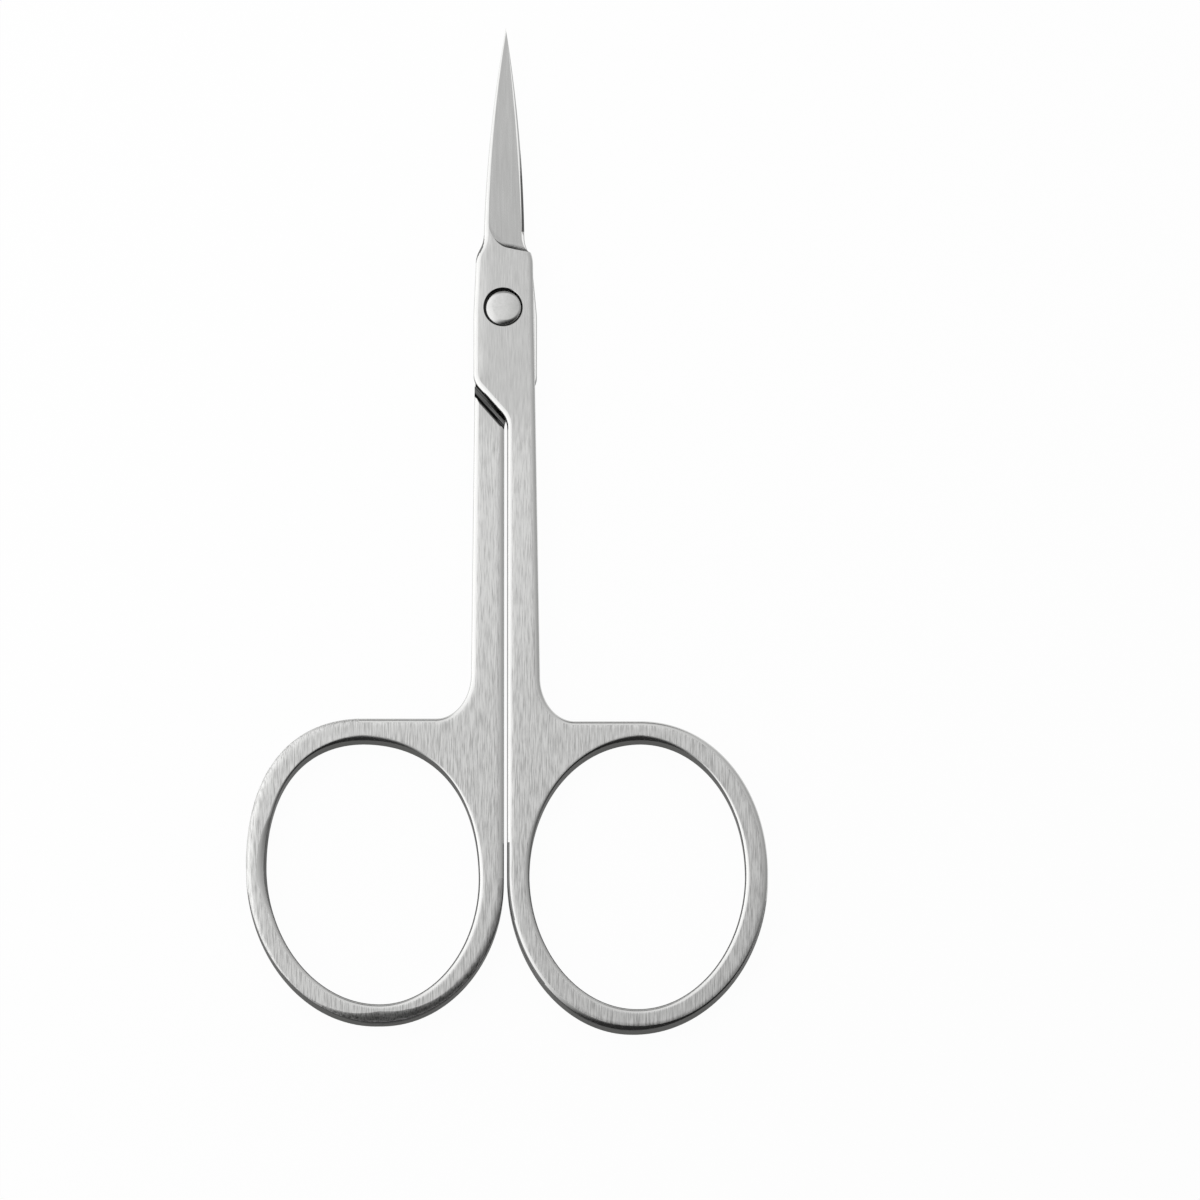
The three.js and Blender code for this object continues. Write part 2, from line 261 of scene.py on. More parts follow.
def bow_turns(sizes):
    """The turning points of the finger loop's hole, and of the rim round it."""
    inner_x = SHANK_GAP / 2 + sizes["inner_rim"]
    outer_x = inner_x + sizes["loop_width"]
    middle_x = (inner_x + outer_x) / 2
    top_y = sizes["bow_top_y"] - sizes["top_rim"]
    bottom_y = top_y - sizes["loop_height"]
    middle_y = (top_y + bottom_y) / 2
    outer_y = middle_y + sizes["outer_rise"]
    inner_y = middle_y - sizes["outer_rise"]
    top_x = middle_x + sizes["top_shift"]
    hole = {
        "top": Vector((top_x, top_y)),
        "outer": Vector((outer_x, outer_y)),
        "bottom": Vector((middle_x + sizes["bottom_shift"], bottom_y)),
        "inner": Vector((inner_x, inner_y)),
    }
    rim = {
        "top": Vector((top_x, sizes["bow_top_y"])),
        "outer": Vector((outer_x + sizes["outer_rim"], outer_y)),
        "bottom": Vector((middle_x + sizes["rim_bottom_shift"], bottom_y - sizes["bottom_rim"])),
        "inner": Vector((SHANK_GAP / 2, inner_y)),
    }
    return hole, rim


def half_outline(sizes):
    """Clockwise round a half, so that the steel is always on the right."""
    rim = bow_turns(sizes)[1]
    inner_x = SHANK_GAP / 2
    spine_x = -sizes["plate_spine_offset"]
    shoulder_y = BLADE_ROOT_Y - SHOULDER_HEIGHT
    blank_edge_x = EDGE_OFFSET + GRIND_ALLOWANCE
    corner_run = CORNER_ROUND * math.cos(LAP_ANGLE)

    def on_diagonal(x):
        return Vector((x, LAP_CORNER_Y - (x - spine_x) * math.tan(LAP_ANGLE)))

    outline = Outline(spine_root(sizes))
    outline.blade_curve(TIP, -SPINE_BELLY)
    outline.line(blank_edge_x, TIP_Y)
    outline.line(blank_edge_x, BLADE_ROOT_Y)
    outline.shoulder(Vector((sizes["plate_edge_offset"], shoulder_y)))
    outline.line(SHANK_OUTER_OFFSET, sizes["bow_top_y"] + BOW_FILLET_HEIGHT)
    fillet_end = Vector((SHANK_OUTER_OFFSET + BOW_FILLET_WIDTH, sizes["bow_top_y"]))
    outline.quarter(fillet_end, ELLIPSE_FULLNESS, False)
    outline.line(*rim["top"])
    outline.oval_sweep(rim, sizes["fullness"])
    outline.line(inner_x, on_diagonal(inner_x).y - CORNER_ROUND)
    outline.curve(on_diagonal(inner_x), on_diagonal(inner_x - corner_run))
    outline.line(*on_diagonal(spine_x + corner_run))
    outline.curve(on_diagonal(spine_x), (spine_x, LAP_CORNER_Y + CORNER_ROUND))
    outline.line(spine_x, TAPER_Y)
    outline.line(spine_x + sizes["plate_spine_taper"], shoulder_y)
    outline.shoulder(spine_root(sizes))
    return outline.points[:-1]


def loop_hole(sizes):
    """Anticlockwise round the hole, so that the steel is on the right here too."""
    hole = bow_turns(sizes)[0]
    outline = Outline(hole["top"])
    outline.oval_sweep(hole, sizes["fullness"])
    outline.quarter(hole["top"], sizes["fullness"], False)
    return outline.points[:0:-1]


# Solids

class Rounding:
    """How a blank is rounded at one of its faces, at one point of its outline."""

    def __init__(self, face_z, width, crown, end=EDGE_END, finish=POLISHED, painted_shade_tilt=EDGE_END):
        self.face_z = face_z
        self.width = width
        self.crown = crown
        self.end = end
        self.finish = finish
        self.painted_shade_tilt = painted_shade_tilt


def share_between(value, start, end):
    """How far a value is on its way from start to end, from 0 to 1."""
    return min(1, max(0, (value - start) / (end - start)))


def between(start, end, share):
    return start + (end - start) * share


def ground_plane(sizes):
    """Slopes and height of the ground face, z = slope.x * x + slope.y * y + height."""
    edge = EDGE_ROOT.to_3d() + Vector((0, 0, LAP_FACE_Z + EDGE_THICKNESS))
    tip = TIP.to_3d() + Vector((0, 0, LAP_FACE_Z + TIP_THICKNESS))
    spine = grind_root(sizes).to_3d() + Vector((0, 0, STOCK_THICKNESS - SPINE_LAND))
    normal = (tip - edge).cross(spine - edge)
    slope = Vector((-normal.x, -normal.y)) / normal.z
    return slope, edge.z - slope.dot(EDGE_ROOT)


def shoulder_line(other_sizes):
    """A point on a half's lap shoulder, and the direction from the shoulder to the lap."""
    start = Vector((other_sizes["plate_spine_offset"], LAP_CORNER_Y - LAP_GROOVE / math.cos(LAP_ANGLE)))
    return start, Vector((-math.sin(LAP_ANGLE), math.cos(LAP_ANGLE)))


def with_lap_ends(points, other_sizes):
    """A half's outline with points added where it enters and leaves the lap."""
    start, to_lap = shoulder_line(other_sizes)
    split = []
    for here, after in zip(points, points[1:] + points[:1]):
        split.append(here)
        depth_here = (here - start).dot(to_lap) - LAP_START
        depth_after = (after - start).dot(to_lap) - LAP_START
        if depth_here * depth_after < 0:
            crossing = depth_here / (depth_here - depth_after)
            split += [here.lerp(after, between(crossing, end, LAP_STEP_SHARE)) for end in (0, 1)]
    return split


def rim_crown(point):
    """Width of the crown along the rim: wide at the plate's spine, narrow on the handle."""
    if point.x > 0:
        return between(CROWN_LEAST, CROWN_WIDTH, share_between(point.y, CROWN_START_Y, CROWN_FULL_Y))
    middle_y = (LAP_CORNER_Y + BLADE_ROOT_Y) / 2
    off_middle = (point.y - middle_y) / (BLADE_ROOT_Y - middle_y)
    return between(CROWN_LEAST, PLATE_CROWN_WIDTH, math.sqrt(max(0, 1 - off_middle ** 2)))


def lap_rounding(point, along_blade):
    """Where the lap meets the side: nearly sharp on the plate, widely rounded at the blade's root, where
    painted shade covers the rounding and narrows away up the blade.
    """
    face_z = LAP_FACE_Z - CUT_SKIN
    if point.y < BLADE_LAP_ROUND_Y:
        return Rounding(face_z, PLATE_LAP_ROUND, CROWN_LEAST)
    width = between(BLADE_LAP_ROUND, TIP_LAP_ROUND, along_blade)
    painted_shade_tilt = between(FACE_TILT, EDGE_END, share_between(point.y, SHADED_SPINE_Y, UNSHADED_SPINE_Y))
    return Rounding(face_z, width, CROWN_LEAST, painted_shade_tilt=painted_shade_tilt)


def slant(inward):
    """How far an edge that faces the front runs slantwise, from 0 to 1."""
    return 2 * max(0, inward.y) * abs(inward.x)


def rim_painted_shade_tilt(point, inward, low, sizes):
    """How far the rim leans where painted shade starts: less on the shoulder's slope, and beside the other
    bow, where it stands in for the other bow mirrored in the rim.
    """
    if LAP_CORNER_Y < point.y < BLADE_ROOT_Y and point.x < 0:
        return between(EDGE_END, SHOULDER_PAINTED_SHADE_TILT, slant(-inward))
    shaded_rim_y = bow_turns(sizes)[1]["inner"].y + SHADED_RIM_RISE
    beside_other_bow = inward.x > 0 and point.y < shaded_rim_y
    return between(sizes["painted_shade_tilt"] if beside_other_bow else EDGE_END, WORN_PAINTED_SHADE_TILT, low)


def rim_top_z(point, inward, width, sizes):
    """Height of the face at the rim: the blade's spine follows the ground face."""
    if point.y <= BLADE_ROOT_Y or point.x > TIP.x:
        return STOCK_THICKNESS
    slope, height = ground_plane(sizes)
    return min(STOCK_THICKNESS, slope.dot(point + inward * width) + height + CUT_SKIN)


def rim_roundings(point, inward, sizes, other_sizes):
    """Top and foot of the rim: narrow towards the tip and on slanting edges, worn at the bow's bottom."""
    rim = bow_turns(sizes)[1]
    along_blade = share_between(point.y, BLADE_ROOT_Y, TIP_Y)
    low = share_between(point.y, rim["top"].y, rim["bottom"].y) ** WEAR_POWER
    wear = sizes["rim_wear"] * low * min(1, max(0, 1 - inward.x))
    width = between(EDGE_ROUND, TIP_EDGE_ROUND, along_blade) + wear
    if point.y < rim["top"].y and inward.x < 0:
        width = between(width, SLANT_ROUND, slant(inward))
    on_bow = inward.x < 0 or point.y < rim["inner"].y
    form = dict(
        width=width,
        crown=max(CROWN_LEAST, rim_crown(point) - wear),
        end=between(EDGE_END, WORN_END, low),
        finish=BRUSHED if wear and on_bow else POLISHED,
        painted_shade_tilt=rim_painted_shade_tilt(point, inward, low, sizes),
    )
    top = Rounding(rim_top_z(point, inward, width, sizes), **form)
    start, to_lap = shoulder_line(other_sizes)
    if (point - start).dot(to_lap) > LAP_START:
        return top, lap_rounding(point, along_blade)
    return top, Rounding(0, **form)


def loop_roundings(point, inward, sizes):
    """Top and foot of the loop: worn wider at its outer side, and steeper but for its upper edge."""
    hole = bow_turns(sizes)[0]
    outward = share_between(point.x, hole["inner"].x, hole["outer"].x) ** WEAR_POWER
    off_middle = (point.y - hole["outer"].y) / LOOP_WEAR_REACH
    wear = sizes["loop_wear"] * outward * max(0, 1 - off_middle ** 2)
    width = between(EDGE_ROUND, SLANT_ROUND, slant(inward)) + wear
    crown = between(CROWN_WIDTH / 2, CROWN_LEAST, outward)
    end = between(EDGE_END, LOOP_END, min(1, 1 - inward.y))
    return [Rounding(z, width, crown, end, POLISHED, LOOP_PAINTED_SHADE_TILT) for z in (STOCK_THICKNESS, 0)]


def into_steel(points):
    """At each point of an outline, the mitred step towards the steel on its right."""
    steps = []
    for before, here, after in zip(points[-1:] + points[:-1], points, points[1:] + points[:1]):
        first = (here - before).normalized()
        second = (after - here).normalized()
        right = Vector((first.y + second.y, -first.x - second.x))
        steps.append(right / (1 + first.dot(second)))
    return steps


def edge_tilt(end, step):
    """How far an edge's rounding leans at a step from the side up to the crown."""
    return between(end, CROWN_ANGLE, step / ROUND_STEPS)


def edge_profile(rounding):
    """Steps of (inset, drop) from the side, round the edge to the crown, and over the crown to the face."""
    width, crown, end = rounding.width, rounding.crown, rounding.end
    radius = width / (math.sin(end) - math.sin(CROWN_ANGLE))
    crown_drop = crown * math.tan(CROWN_ANGLE) / 2
    steps = []
    for k in range(ROUND_STEPS + 1):
        tilt = edge_tilt(end, k)
        drop = crown_drop + radius * (math.cos(CROWN_ANGLE) - math.cos(tilt))
        steps.append((radius * (math.sin(end) - math.sin(tilt)), drop))
    for k in range(1, CROWN_STEPS + 1):
        done = k / CROWN_STEPS
        steps.append((width + crown * done, crown_drop * (1 - done) ** 2))
    return steps


def edge_finish(rounding, step):
    """The finish of one step of an edge's profile: brushed crown, the rounding's own finish, then painted
    shade on the steep side.
    """
    tilt = edge_tilt(rounding.end, step + 0.5)
    if tilt < FACE_TILT:
        return BRUSHED
    return SIDE if tilt > rounding.painted_shade_tilt else rounding.finish


def ring(mesh, points):
    return [mesh.verts.new(point) for point in points]


def skin(mesh, lower, upper, finishes=None):
    for i in range(len(lower)):
        j = (i + 1) % len(lower)
        face = mesh.faces.new((lower[i], lower[j], upper[j], upper[i]))
        if finishes:
            face.material_index = finishes[i]


def ring_edges(mesh, ring_verts):
    return [mesh.edges.get(pair) for pair in zip(ring_verts, ring_verts[1:] + ring_verts[:1])]


def edge_rings(mesh, points, steps, roundings, up, cap_z):
    """Rings of a blank from its side to its face, which is its top or, where up is -1, its foot."""
    profiles = [edge_profile(rounding) for rounding in roundings]
    levels = []
    for k in range(len(profiles[0])):
        insets = [profile[k][0] for profile in profiles]
        heights = [rounding.face_z - up * profile[k][1] for rounding, profile in zip(roundings, profiles)]
        levels.append(zip(points, steps, insets, heights))
    insets = [profile[-1][0] + CROWN_LEAST for profile in profiles]
    levels.append(zip(points, steps, insets, [cap_z] * len(points)))
    return [ring(mesh, [(*(p + step * inset), z) for p, step, inset, z in level]) for level in levels]


def edged_side(mesh, points, steps, roundings):
    """The side of a blank along one outline, rounded at both faces; returns its lowest and highest ring."""
    tops, feet = zip(*roundings)
    upper = edge_rings(mesh, points, steps, tops, 1, STOCK_THICKNESS)
    lower = edge_rings(mesh, points, steps, feet, -1, 0)
    # the upright side takes the side finish, painted dark as shade
    skin(mesh, lower[0], upper[0], [SIDE] * len(points))
    for k in range(len(upper) - 1):
        skin(mesh, upper[k], upper[k + 1], [edge_finish(top, k) for top in tops])
        skin(mesh, lower[k + 1], lower[k], [edge_finish(foot, k) for foot in feet])
    return lower[-1], upper[-1]


def blank(sizes, other_sizes):
    """One half's blank with its finger loop and rounded edges."""
    mesh = bmesh.new()
    rim = with_lap_ends(half_outline(sizes), other_sizes)
    rim_steps = into_steel(rim)
    hole = loop_hole(sizes)
    hole_steps = into_steel(hole)
    rim_edges = [rim_roundings(point, step, sizes, other_sizes) for point, step in zip(rim, rim_steps)]
    hole_edges = [loop_roundings(point, step, sizes) for point, step in zip(hole, hole_steps)]
    sides = [
        edged_side(mesh, rim, rim_steps, rim_edges),
        edged_side(mesh, hole, hole_steps, hole_edges),
    ]
    for face_rings in zip(*sides):
        edges = [edge for verts in face_rings for edge in ring_edges(mesh, verts)]
        bmesh.ops.triangle_fill(mesh, edges=edges, use_beauty=True)
    return mesh


def stack(levels):
    """A closed solid through loops of points, one above another."""
    mesh = bmesh.new()
    rings = [ring(mesh, level) for level in levels]
    for lower, upper in zip(rings, rings[1:]):
        skin(mesh, lower, upper)
    mesh.faces.new(rings[0])
    mesh.faces.new(rings[-1])
    return mesh


def turned(profile):
    """A solid of revolution about Z, from (radius, z) points that start and end on the axis."""
    mesh = bmesh.new()
    verts = [mesh.verts.new((radius, 0, z)) for radius, z in profile]
    edges = [mesh.edges.new(pair) for pair in zip(verts, verts[1:])]
    bmesh.ops.spin(
        mesh, geom=verts + edges, cent=(0, 0, 0), axis=(0, 0, 1), angle=2 * math.pi,
        steps=TURN_STEPS, use_merge=True,
    )
    bmesh.ops.remove_doubles(mesh, verts=mesh.verts, dist=WELD_DISTANCE)
    return mesh


def finished(name, mesh):
    """An object from a mesh, with its faces pointing out."""
    bmesh.ops.recalc_face_normals(mesh, faces=mesh.faces)
    data = bpy.data.meshes.new(name)
    mesh.to_mesh(data)
    mesh.free()
    piece = bpy.data.objects.new(name, data)
    bpy.context.scene.collection.objects.link(piece)
    return piece


def cut(piece, mesh, finish_of):
    """Takes a cutter away from a piece; each face that it leaves has the finish of the cutter's face."""
    cutter = finished("cutter", mesh)
    for face in cutter.data.polygons:
        face.material_index = finish_of(face)
    modifier = piece.modifiers.new("cut", "BOOLEAN")
    modifier.operation = "DIFFERENCE"
    modifier.solver = "EXACT"
    modifier.object = cutter
    evaluated = piece.evaluated_get(bpy.context.evaluated_depsgraph_get())
    data = bpy.data.meshes.new_from_object(evaluated)
    piece.modifiers.clear()
    piece.data = data
    bpy.data.objects.remove(cutter)


def cut_lap(piece, other_sizes):
    """Mills all below the lap face, up to a shoulder with a chamfered mouth; the groove's floor is painted
    dark as shade.
    """
    start, to_lap = shoulder_line(other_sizes)
    along_shoulder = Vector((math.cos(LAP_ANGLE), math.sin(LAP_ANGLE)))
    groove_end = start + to_lap * (LAP_GROOVE + GROOVE_SHADE)

    def level(z, back):
        corner = start - to_lap * back
        points = [corner - along_shoulder * REACH, corner + along_shoulder * REACH]
        points += [point + to_lap * REACH for point in reversed(points)]
        return [(*point, z) for point in points]

    def finish_of(face):
        if (face.center.xy - groove_end).dot(to_lap) > 0:
            return LAP
        return SIDE if BEVEL_NORMAL_Z < abs(face.normal.z) < FACE_NORMAL_Z else GROOVE

    mesh = stack([
        level(-SHOULDER_CHAMFER_DEPTH, 2 * SHOULDER_CHAMFER_WIDTH),
        level(SHOULDER_CHAMFER_DEPTH, 0),
        level(LAP_FACE_Z, 0),
    ])
    geometry = mesh.verts[:] + mesh.edges[:] + mesh.faces[:]
    bmesh.ops.bisect_plane(mesh, geom=geometry, plane_co=groove_end.to_3d(), plane_no=to_lap.to_3d())
    cut(piece, mesh, finish_of)


def cut_edge(piece, sizes):
    """Takes off all outside the cutting edge, from the tip to the flare at the plate."""
    flare_x = sizes["plate_edge_offset"] + GRIND_ALLOWANCE
    flare_y = BLADE_ROOT_Y - FLARE_DROP
    outline = Outline((TIP.x, TIP.y + REACH))
    outline.line(*TIP)
    outline.blade_curve(EDGE_ROOT, EDGE_BELLY)
    outline.curve((EDGE_OFFSET, BLADE_ROOT_Y - PLUNGE_DROP), (flare_x, flare_y))
    outline.line(flare_x + REACH, flare_y)
    outline.line(flare_x + REACH, TIP.y + REACH)
    levels = [[(*point, z) for point in outline.points] for z in (-REACH, REACH)]
    cut(piece, stack(levels), lambda face: POLISHED)


def plunge_line(sizes, side):
    """Points of the line where the grind stops, from spine to edge, and their steps towards the tip."""
    plunge_y = BLADE_ROOT_Y - PLUNGE_DROP
    spine = spine_root(sizes)
    outline = Outline((-side, spine.y))
    outline.line(*spine)
    outline.curve((spine.x / 2, plunge_y), (PLUNGE_BEND_X, plunge_y))
    outline.line(side, plunge_y - side * math.tan(PLUNGE_ANGLE))
    steps = [-step for step in into_steel(outline.points)]
    steps[0] = steps[1]
    steps[-1] = steps[-2]
    return outline.points, steps


def cut_grind(piece, sizes):
    """Grinds off all above the blade's outer face, which stops at a swept and hollow plunge line."""
    slope, height = ground_plane(sizes)
    side = sizes["plate_spine_offset"] + GRIND_ALLOWANCE
    past_tip = [Vector((x, TIP_Y + SHOULDER_HEIGHT)) for x in (side, -side)]
    line, steps = plunge_line(sizes, side)
    levels = []
    for k in range(ROUND_STEPS + 1):
        angle = math.pi / 2 * k / ROUND_STEPS
        inset = PLUNGE_ROUND * (1 - math.sin(angle))
        rise = PLUNGE_ROUND * (1 - math.cos(angle))
        points = [point + step * inset for point, step in zip(line, steps)] + past_tip
        levels.append([(*point, slope.dot(point) + height + rise) for point in points])
    levels.append([(x, y, z + REACH) for x, y, z in levels[-1]])

    def finish_of(face):
        rise = face.center.z - slope.dot(face.center.xy) - height
        # painted shade: above this rise the hollow takes dark steel
        return PLUNGE if rise > PLUNGE_SHADE_RISE else GROUND

    cut(piece, stack(levels), finish_of)


def bore_for_head(piece):
    """The running bore and the recess for the rivet's head, with a broken lip."""
    bore = RIVET_SHANK_RADIUS + RUNNING_CLEARANCE
    recess = RIVET_HEAD_RADIUS + HEAD_SIDE_CLEARANCE
    floor_z = RIVET_TOP_Z - RIVET_HEAD_THICKNESS - SEAT_CLEARANCE
    lip_z = STOCK_THICKNESS - RECESS_LIP
    mesh = turned([
        (0, -REACH),
        (bore, -REACH),
        (bore, floor_z),
        (recess, floor_z),
        (recess, lip_z),
        (recess + RECESS_LIP, STOCK_THICKNESS),
        (recess + RECESS_LIP, REACH),
        (0, REACH),
    ])
    for vert in mesh.verts:
        if vert.co.xy.length > bore + RECESS_LIP:
            vert.co.xy += RECESS_SHIFT
    # below its lip the recess is painted near black as shade
    cut(piece, mesh, lambda face: POLISHED if face.center.z > lip_z else RECESS)


def bore_for_tail(piece):
    """The bore and countersink for the rivet's tail, as the half lies before it is turned over."""
    bore = RIVET_SHANK_RADIUS + SEAT_CLEARANCE
    mouth = RIVET_TAIL_RADIUS + SEAT_CLEARANCE
    mesh = turned([
        (0, -REACH),
        (bore, -REACH),
        (bore, STOCK_THICKNESS - RIVET_TAIL_DEPTH),
        (mouth, STOCK_THICKNESS),
        (mouth, REACH),
        (0, REACH),
    ])
    cut(piece, mesh, lambda face: RECESS)


def rivet_profile():
    """(radius, z) points from the flush tail up to the flat of the head."""
    seat_z = RIVET_TOP_Z - RIVET_HEAD_THICKNESS
    profile = [
        (0, 0),
        (RIVET_TAIL_RADIUS, 0),
        (RIVET_SHANK_RADIUS, RIVET_TAIL_DEPTH),
        (RIVET_SHANK_RADIUS, seat_z),
        (RIVET_HEAD_RADIUS, seat_z),
    ]
    radius = RIVET_HEAD_ROUND / (math.sin(RIVET_HEAD_END) - math.sin(RIVET_HEAD_START))
    for k in range(ROUND_STEPS + 1):
        tilt = between(RIVET_HEAD_END, RIVET_HEAD_START, k / ROUND_STEPS)
        inset = radius * (math.sin(RIVET_HEAD_END) - math.sin(tilt))
        drop = radius * (math.cos(RIVET_HEAD_START) - math.cos(tilt))
        profile.append((RIVET_HEAD_RADIUS - inset, RIVET_TOP_Z - drop))
    profile.append((0, RIVET_TOP_Z))
    return profile


def rivet_mesh():
    """The turned rivet, with its head's flat off the middle, so that the rounding is wide at the left."""
    mesh = turned(rivet_profile())
    for vert in mesh.verts:
        if vert.co.z > RIVET_TOP_Z - RIVET_HEAD_THICKNESS / 2:
            inset = RIVET_HEAD_RADIUS - vert.co.xy.length
            vert.co.xy += RIVET_FACE_SHIFT * share_between(inset, 0, RIVET_HEAD_ROUND)
    return mesh


# Materials

STREAK_SPAN = (0.3, 0.7)  # between these values of the noise lies nearly all of it
PLATE_STREAKS = 0.55  # strength of the streaks, as a multiple of the noise
SHANK_STREAKS = 1.5
BOW_STREAKS = 1.9
GROOVE_STREAKS = 4
SHANK_LIGHTER = 0.13  # how much lighter the brushing is on the shank than on the plate
# the bow is lighter than the plate by less than the shank is; the difference is painted shade
BOW_LIGHTER = 0.06
SHADE_SLANT_LEVEL = 0.4  # grey of the painted shade in the steel's reflection where it is seen at a slant
STEEL_BLUE = 0.988  # blue in the steel's grey, as a share of its red and green
STREAK_DETAIL = 4
STREAK_ROUGHNESS = 0.65
STREAK_MIDDLE = 0.5
RELIEF_DEPTH = 0.01 * MM

# Width and length of the streaks, in millimetres
BRUSH = (0.11, 2.0)
WHEEL = (0.2, 4)
GROOVE_MARKS = (0.3, 12)
RECESS_GRAIN = (0.4, 0.4)
RIVET_GRAIN = (0.33, 0.33)

# Stretches of the length, as spans of y, where the brushing changes from one part to the next, and where
# painted shade darkens the bow against the shank
PLATE_TO_SHANK = (-16 * MM, -8 * MM)
SHANK_TO_BOW = (-44 * MM, -36 * MM)
PAINTED_SHADE_TO_BOW = (-38 * MM, -24 * MM)


def nodes_of(name):
    material = bpy.data.materials.new(name)
    material.use_nodes = True
    return material, material.node_tree.nodes, material.node_tree.links


def calculated(nodes, links, operation, *values):
    """The result of an operation on sockets or plain numbers."""
    node = nodes.new("ShaderNodeMath")
    node.operation = operation
    for socket, value in zip(node.inputs, values):
        if isinstance(value, bpy.types.NodeSocket):
            links.new(value, socket)
        else:
            socket.default_value = value
    return node.outputs["Value"]


def streaks(nodes, links, place, size, turn, seed):
    """Fine streaks of this width and length in millimetres, turned about Z, as values about one half."""
    width, length = size
    stretch = nodes.new("ShaderNodeMapping")
    stretch.vector_type = "TEXTURE"
    stretch.inputs["Location"].default_value = (seed, seed, seed)
    stretch.inputs["Rotation"].default_value = (0, 0, turn)
    stretch.inputs["Scale"].default_value = (width * MM, length * MM, width * MM)
    noise = nodes.new("ShaderNodeTexNoise")
    noise.inputs["Scale"].default_value = 1
    noise.inputs["Detail"].default_value = STREAK_DETAIL
    noise.inputs["Roughness"].default_value = STREAK_ROUGHNESS
    links.new(place, stretch.inputs["Vector"])
    links.new(stretch.outputs["Vector"], noise.inputs["Vector"])
    return noise.outputs["Fac"]


def about_middle(nodes, links, value, strength, middle):
    """Streaks with their strength scaled, about a new middle value."""
    about_zero = calculated(nodes, links, "SUBTRACT", value, STREAK_MIDDLE)
    return calculated(nodes, links, "MULTIPLY_ADD", about_zero, strength, middle)


def brushing_and_shade_on_handles(nodes, links, place, value):
    """Makes the brushing calm on the pivot plate, plain and lighter on the shank, and rough on the bow,
    which painted shade makes darker than the shank.
    """
    split = nodes.new("ShaderNodeSeparateXYZ")
    links.new(place, split.inputs["Vector"])
    y = split.outputs["Y"]
    shank = span(nodes, links, y, PLATE_TO_SHANK, (SHANK_STREAKS, PLATE_STREAKS))
    bow = span(nodes, links, y, SHANK_TO_BOW, (BOW_STREAKS - SHANK_STREAKS, 0))
    strength = calculated(nodes, links, "ADD", shank, bow)
    shank = span(nodes, links, y, PLATE_TO_SHANK, (STREAK_MIDDLE + SHANK_LIGHTER, STREAK_MIDDLE))
    bow = span(nodes, links, y, PAINTED_SHADE_TO_BOW, (BOW_LIGHTER - SHANK_LIGHTER, 0))
    middle = calculated(nodes, links, "ADD", shank, bow)
    return about_middle(nodes, links, value, strength, middle)


def ramp(nodes, links, value, low, high):
    """Carries streaks to colours between two greys."""
    node = nodes.new("ShaderNodeValToRGB")
    for element, place, colour in zip(node.color_ramp.elements, STREAK_SPAN, (grey(low), grey(high))):
        element.position = place
        element.color = (*colour, 1)
    links.new(value, node.inputs["Fac"])
    return node.outputs["Color"]


def span(nodes, links, value, source, target, bend="SMOOTHSTEP"):
    """Carries a value from one span of numbers to another, and holds it at the ends."""
    node = nodes.new("ShaderNodeMapRange")
    node.interpolation_type = bend
    for name, number in zip(("From Min", "From Max", "To Min", "To Max"), (*source, *target)):
        node.inputs[name].default_value = number
    links.new(value, node.inputs["Value"])
    return node.outputs["Result"]


def steel(name, low, high, roughness, size, relief, seed, turn=0, strength=1, brushed=False):
    """Steel whose streaks change its grey from low to high, its roughness and, a little, its height."""
    material, nodes, links = nodes_of(name)
    shader = nodes["Principled BSDF"]
    shader.inputs["Metallic"].default_value = 1
    place = nodes.new("ShaderNodeTexCoord").outputs["Object"]
    value = streaks(nodes, links, place, size, turn, seed)
    if brushed:
        value = brushing_and_shade_on_handles(nodes, links, place, value)
    else:
        value = about_middle(nodes, links, value, strength, STREAK_MIDDLE)
    links.new(ramp(nodes, links, value, low, high), shader.inputs["Base Color"])
    links.new(span(nodes, links, value, STREAK_SPAN, roughness), shader.inputs["Roughness"])
    bump = nodes.new("ShaderNodeBump")
    bump.inputs["Strength"].default_value = relief
    bump.inputs["Distance"].default_value = RELIEF_DEPTH
    links.new(value, bump.inputs["Height"])
    links.new(bump.outputs["Normal"], shader.inputs["Normal"])
    return material


def grey(level):
    return (level, level, level * STEEL_BLUE)


def painted_shade_at_a_slant(material):
    """Painted shade: greys the steel's reflection where it is seen at a slant, so that steep sides look
    dark.
    """
    shade_grey = grey(SHADE_SLANT_LEVEL)
    material.node_tree.nodes["Principled BSDF"].inputs["Specular Tint"].default_value = (*shade_grey, 1)
    return material


def finishes(seed, groove_turn):
    """A half's finishes, in the order of its material slots."""
    # Columns: name, lowest and highest grey, roughness, size of the streaks, relief, seed
    return [
        steel("brushed_face", 0.39, 0.74, (0.30, 0.44), BRUSH, 0.35, seed, brushed=True),
        steel("polished_edge", 0.62, 0.70, (0.12, 0.20), BRUSH, 0.08, seed + 3),
        # painted shade: dark steel on the steep sides and edges, for the shadowed floor and dark
        # surroundings that they mirror
        painted_shade_at_a_slant(steel("side", 0.12, 0.20, (0.28, 0.40), BRUSH, 0.2, seed + 4)),
        steel("ground_face", 0.58, 0.68, (0.20, 0.28), WHEEL, 0.1, seed + 5),
        # painted shade: dark steel on the plunge hollow, for the dark line that it mirrors
        painted_shade_at_a_slant(steel("plunge", 0.14, 0.23, (0.28, 0.40), WHEEL, 0.2, seed + 8)),
        # painted highlight: the lap's smooth polish is real, but its grey is lighter than the other polished
        # steel so that its strip shows white
        steel("lap_face_painted_highlight", 0.80, 0.90, (0.10, 0.16), WHEEL, 0.1, seed + 6),
        # painted shade: the groove between the halves is nearly black, with milling streaks in it
        steel("groove", 0.005, 0.26, (0.35, 0.5), GROOVE_MARKS, 0.4, seed + 7, groove_turn, GROOVE_STREAKS),
        # painted shade: the recess and bores round the rivet are nearly black
        steel("recess", 0.03, 0.07, (0.4, 0.5), RECESS_GRAIN, 0.2, seed + 9),
    ]


